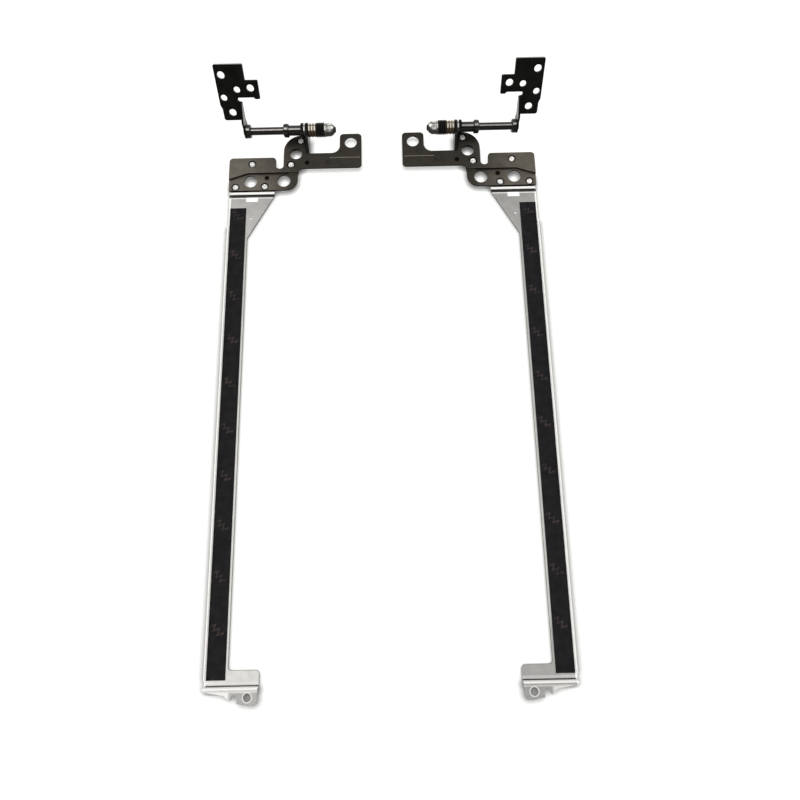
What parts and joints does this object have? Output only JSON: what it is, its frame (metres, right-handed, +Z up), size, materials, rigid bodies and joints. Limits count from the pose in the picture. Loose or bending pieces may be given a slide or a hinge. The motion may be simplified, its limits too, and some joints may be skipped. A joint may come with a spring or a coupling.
{
  "type": "pair of laptop hinges",
  "caption": "Mirrored pair of laptop screen hinges: long folded rails with tape strips, stamped hinge plates, friction shafts with stacked washers, and tilting base brackets with screw holes.",
  "frame": {"origin": "middle of the pair's outline on the table it lies on", "axes": "+Y along the rails towards the hinges, +X from the left hinge to the right one, +Z up from the table"},
  "size_m": [0.1504, 0.272, 0.0313],
  "materials": {
    "rail_steel": "satin zinc",
    "tape": "matte film",
    "plate_steel": "satin dark nickel",
    "rivet_steel": "bright",
    "black_steel": "semi gloss black",
    "shaft_steel": "bright black nickel",
    "bright_steel": "bright",
    "brass": "bright"
  },
  "bodies": {
    "screen_side": {"right_rail": "rail_steel", "right_adhesive_tape": "tape", "right_hinge_plate": "plate_steel", "right_rail_rivets": "rivet_steel", "right_ear_bracket": "black_steel", "right_ear_rivets": "rivet_steel", "left_rail": "rail_steel", "left_adhesive_tape": "tape", "left_hinge_plate": "plate_steel", "left_rail_rivets": "rivet_steel", "left_ear_bracket": "black_steel", "left_ear_rivets": "rivet_steel"},
    "right_base_side": {"right_shaft": "shaft_steel", "right_stop_washer": "black_steel", "right_steel_washer": "bright_steel", "right_thin_washer": "shaft_steel", "right_friction_washers": "brass", "right_spring_washers": "black_steel", "right_end_washer": "bright_steel", "right_nut": "bright_steel", "right_base_bracket": "black_steel"},
    "left_base_side": {"left_shaft": "shaft_steel", "left_stop_washer": "black_steel", "left_steel_washer": "bright_steel", "left_thin_washer": "shaft_steel", "left_friction_washers": "brass", "left_spring_washers": "black_steel", "left_end_washer": "bright_steel", "left_nut": "bright_steel", "left_base_bracket": "black_steel"}
  },
  "joints": [
    {"name": "right_hinge", "type": "hinge", "parent": "screen_side", "child": "right_base_side", "pos_m": [0.05, 0.11752, 0.00816], "axis": [1, 0, 0], "range_deg": [-58, 119.5]},
    {"name": "left_hinge", "type": "hinge", "parent": "screen_side", "child": "left_base_side", "pos_m": [-0.05, 0.11752, 0.00816], "axis": [1, 0, 0], "range_deg": [-58, 119.5]}
  ]
}
